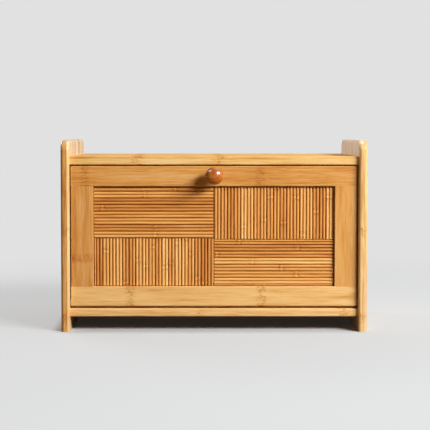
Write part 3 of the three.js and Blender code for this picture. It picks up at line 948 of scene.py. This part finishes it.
def slats(name, node, upright, spans, begin, end, seed, tone, finish):
    """A panel of slats from begin to end. spans gives each slat's start and width across it."""
    chooser = random.Random(seed)
    low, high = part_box(node)
    across, run = (X, Z) if upright else (Z, X)
    turn = Matrix((across, -Y, run)).transposed().to_4x4()
    stray = 20 * mm
    made = []
    for number, (start, width) in enumerate(spans):
        thick = high.y - low.y - chooser.uniform(0.1, 0.3) * mm
        length = end - begin - chooser.uniform(0, 0.25) * mm
        values = {
            "slat_tone": chooser.gauss(tone, 0.1),
            "slat_number": float(number),
            "slat_node": chooser.uniform(begin - stray, end + stray),
        }
        ridges = max(1, round(width / level_pitch))
        part = slat(width - slat_gap, thick, length, ridges, values)
        bmesh.ops.transform(part, matrix=turn, verts=part.verts)
        place = across * (start + slat_gap / 2) + Y * high.y + run * begin
        bmesh.ops.translate(part, vec=place, verts=part.verts)
        bmesh.ops.recalc_face_normals(part, faces=part.faces)
        made.append(part)
    piece(name, joined(*made), finish, node)


def row_of_slats(start, end, step, first=None):
    """(start, width) of each slat from start to end, the last one trimmed. step may be negative."""
    spans = []
    at = start
    width = first or abs(step)
    sense = 1 if step > 0 else -1
    while (end - at) * sense > tiny:
        width = min(width, abs(end - at))
        spans.append((at if sense > 0 else at - width, width))
        at += sense * width
        width = abs(step)
    return spans


def reeds():
    """Four panels of slats, level and upright in turn, with a gap to the door frame all round."""
    left, right = opening_left + infill_gap, opening_right - infill_gap
    low, high = opening_low + infill_gap, opening_high - infill_gap_top
    left_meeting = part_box("reeds_upper_left")[0].z
    right_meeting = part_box("reeds_upper_right")[0].z
    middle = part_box("reeds_upper_right")[0].x
    level = slat_bamboo("level_slat_bamboo", "x", 2.0)
    upright = slat_bamboo("upright_slat_bamboo", "z", 5.0)
    spans = row_of_slats(left_meeting, high, 2 * level_pitch)
    ends = (left, middle - slat_end_gap)
    slats("slats_upper_left", "reeds_upper_left", False, spans, *ends, 11, 0.55, level)
    spans = row_of_slats(middle, right, 2 * upright_pitch)
    ends = (right_meeting + slat_end_gap, high)
    slats("slats_upper_right", "reeds_upper_right", True, spans, *ends, 12, 0.62, upright)
    spans = row_of_slats(middle, left, -2 * upright_pitch)
    ends = (low, left_meeting - slat_end_gap)
    slats("slats_lower_left", "reeds_lower_left", True, spans, *ends, 13, 0.6, upright)
    spans = row_of_slats(right_meeting, low, -2 * level_pitch, first=first_low_slat)
    ends = (middle + slat_end_gap, right)
    slats("slats_lower_right", "reeds_lower_right", False, spans, *ends, 14, 0.66, level)


def knob():
    """A turned knob on a short neck."""
    low, high, middle = place_of("knob")
    radius, length = (high.x - low.x) / 2, high.y - low.y
    base, neck, rim = 6.5 * mm, 5 * mm, 15.6 * mm
    foot = [(0, 0), (base - 0.3 * mm, 0), (base, 0.3 * mm), (base - 0.5 * mm, 1.2 * mm)]
    waist = [(neck + 0.4 * mm, 2.6 * mm), (neck, 4.6 * mm), (neck + 0.5 * mm, 6.6 * mm)]
    shoulder = [(7.4 * mm, 8.8 * mm), (10.2 * mm, 11.2 * mm), (11.5 * mm, 13.4 * mm)]
    dome = [(radius * c, rim + (length - rim) * s) for c, s in arc((0, 0), 1, 0, 90, 14)]
    dome[-1] = (0, length)
    bm = turned(foot + waist + shoulder + dome, knob_steps)
    laid(bm, -Y, (middle.x, high.y, middle.z))
    piece("turned_knob", bm, polished_knob_wood(), "knob")


def knob_fixing():
    """The washer and the screw behind the rail."""
    low, high, middle = place_of("knob_washer")
    outer, thick, bore, ease = (high.x - low.x) / 2, high.y - low.y, 2.2 * mm, 0.2 * mm
    ring = [(bore, 0), (outer - ease, 0), (outer, -ease), (outer, -thick), (bore, -thick), (bore, 0)]
    bm = laid(turned(ring), Y, (middle.x, high.y, middle.z))
    piece("flat_washer", bm, zinc, "knob_washer")
    screw_low, screw_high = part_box("knob_screw")
    head = screw_high.y - high.y - 0.05 * mm
    reach = screw_high.y - screw_low.y - head
    bm = pan_screw((screw_high.x - screw_low.x) / 2, head, knob_screw_shank, reach)
    laid(bm, Y, (middle.x, screw_high.y - head, middle.z))
    piece("pan_head_screw", bm, zinc, "knob_screw")


def kept_nodes():
    """Pieces that were not rebuilt, and so are not hidden, keep the CAD shape and get a finish."""
    for node, made in nodes.items():
        if made.hide_render:
            continue
        finish = {"beech": beech, "brass": brass}.get(slot_of[node])
        if node == "reed_backing":
            finish = ply_bamboo("backing_ply", 0.7)
        made.data.materials.clear()
        made.data.materials.append(finish)


# The last colour of each upright is painted on its inner face: a painted reflection makes both paler
# and whiter, and painted light makes the right one palest, where the key light misses it.
side_panel("left", -X, 3, (222, 168, 100), (214, 184, 146))
side_panel("right", X, 8, (241, 198, 134), (255, 232, 200))
# Each board's second colour is painted shade on the faces behind its front, the top face above all.
carcass_board(
    "shelf_board",
    "top_board",
    top_board_ease_under,
    15,
    colour=(228, 180, 107),
    painted_light_colour=(212, 162, 101),
    nodes_at=(-0.1, 0.008),
)
carcass_board(
    "base_board",
    "bottom_board",
    board_ease,
    18,
    colour=(233, 186, 121),
    painted_light_colour=(228, 180, 114),
    nodes_at=(-0.02, 0.17),
)
rear_panel()
for hand, outward in hands:
    carcass_screws(hand, outward)
for hand, outward in hands:
    hinge_pin(hand)
    hinge_bush(hand, outward)
for hand, seed in (("left", 21), ("right", 24)):
    catch(hand, seed)
    strike(hand)
door_frame()
reeds()
knob()
knob_fixing()
kept_nodes()


# ---------------------------------------------------------------- studio

backdrop = 0.755
floor_tone = 0.59
front_fill = 0.06
back_fill = 0.45
footprint = {"half_width": 0.2, "half_depth": 0.1, "middle_y": 0.01}


def floor_finish():
    """Shaded under the box, partly glowing beside it, which lightens the box's shadow on the floor as
    painted light, and all glowing as backdrop further off. It throws little light back on the box.
    """
    colour = opaque(scaled((0.985, 1, 1.025), floor_tone))
    constants = {"Base Color": colour, "Roughness": 0.9, "Specular IOR Level": 0.0}
    finish = Finish("studio_floor", constants)
    x, y, z = finish.place()
    away = (x * x + y * y) ** 0.5
    beside = (x.size() - footprint["half_width"]).greater(0.0)
    before = ((y - footprint["middle_y"]).size() - footprint["half_depth"]).greater(0.0)
    near = (beside * beside + before * before) ** 0.5
    # Painted light: the share of glow, almost none under the box, rising beside it to lighten the
    # box's shadow, and whole far off.
    share = 1 - (1 - away.ramp(0.4, 1.0)) * (1 - near.ramp(-0.002, 0.02) * 0.62)
    glow = finish.node("ShaderNodeEmission", inputs={"Color": grey(backdrop), "Strength": 1.0})
    dark = finish.node("ShaderNodeBsdfDiffuse", inputs={"Color": (0.2, 0.13, 0.07, 1)})
    pale = finish.blend_shaders(share, finish.shader.outputs[0], glow.outputs[0])
    shown = finish.blend_shaders(finish.seen_by_lens(), dark.outputs[0], pale)
    finish.feed(finish.tree.nodes["Material Output"], {"Surface": shown})
    return finish.material


def studio_floor():
    bm = bmesh.new()
    bmesh.ops.create_circle(bm, cap_ends=True, segments=64, radius=8)
    floor = as_object("floor", bm)
    floor.data.materials.append(floor_finish())


def studio_world():
    """An even backdrop to the lens. The light is bright behind the box, dim and warm before it."""
    world = bpy.data.worlds.new("studio")
    bpy.context.scene.world = world
    world.use_nodes = True
    sky = NodeBuilder(world.node_tree)
    behind = sky.coordinates("Generated")[1].ramp(-0.1, 0.7)
    warm = opaque(scaled((1.0, 0.6, 0.25), front_fill))
    cool = opaque(scaled((0.97, 0.985, 1.0), back_fill))
    lit = sky.tree.nodes["Background"]
    sky.feed(lit, {"Color": sky.blend(behind, warm, cool)})
    seen = sky.node("ShaderNodeBackground", inputs={"Color": grey(backdrop)})
    shown = sky.blend_shaders(sky.seen_by_lens(), lit.outputs[0], seen.outputs[0])
    sky.feed(sky.tree.nodes["World Output"], {"Surface": shown})


def softbox(name, place, size, power, target, colour=(1, 1, 1), lights_wood=True):
    """An area light. With lights_wood off it is only seen mirrored in shiny surfaces."""
    light = bpy.data.lights.new(name, "AREA")
    light.shape = "RECTANGLE"
    light.size, light.size_y = size
    light.energy = power
    light.color = colour
    lamp = bpy.data.objects.new(name, light)
    lamp.location = place
    lamp.rotation_euler = (Vector(target) - Vector(place)).to_track_quat("-Z", "Y").to_euler()
    lamp.visible_camera = False
    lamp.visible_diffuse = lights_wood
    bpy.context.scene.collection.objects.link(lamp)


def camera():
    """Level with the top of the box, looking a little down. The small lens shift frames the box."""
    tilt_down = 2.847
    data = bpy.data.cameras.new("camera")
    data.lens = 97.9
    data.sensor_width = 36
    data.shift_x, data.shift_y = 0.032, -0.06
    made = bpy.data.objects.new("camera", data)
    made.location = (-0.0167, -1.6115, 0.2628)
    made.rotation_euler = (math.radians(90 - tilt_down), 0, 0)
    bpy.context.scene.collection.objects.link(made)
    bpy.context.scene.camera = made


softbox("key", (1.95, -1.66, 1.5), (1.6, 0.55), 139, (0, 0, 0.13), (0.975, 1, 1))
softbox("back light", (-1.3, 1.25, 1.05), (1.0, 0.7), 17, (0, 0, 0.15))
softbox("overhead", (0.35, 0.05, 1.5), (1.0, 0.8), 3, (0, 0, 0.1))
softbox("glint", (-1.6, -0.9, 2.3), (1.1, 0.9), 26, (0, 0, 0.18), (1, 0.8, 0.65), lights_wood=False)
studio_floor()
studio_world()
camera()
bpy.context.scene.view_settings.view_transform = "Standard"
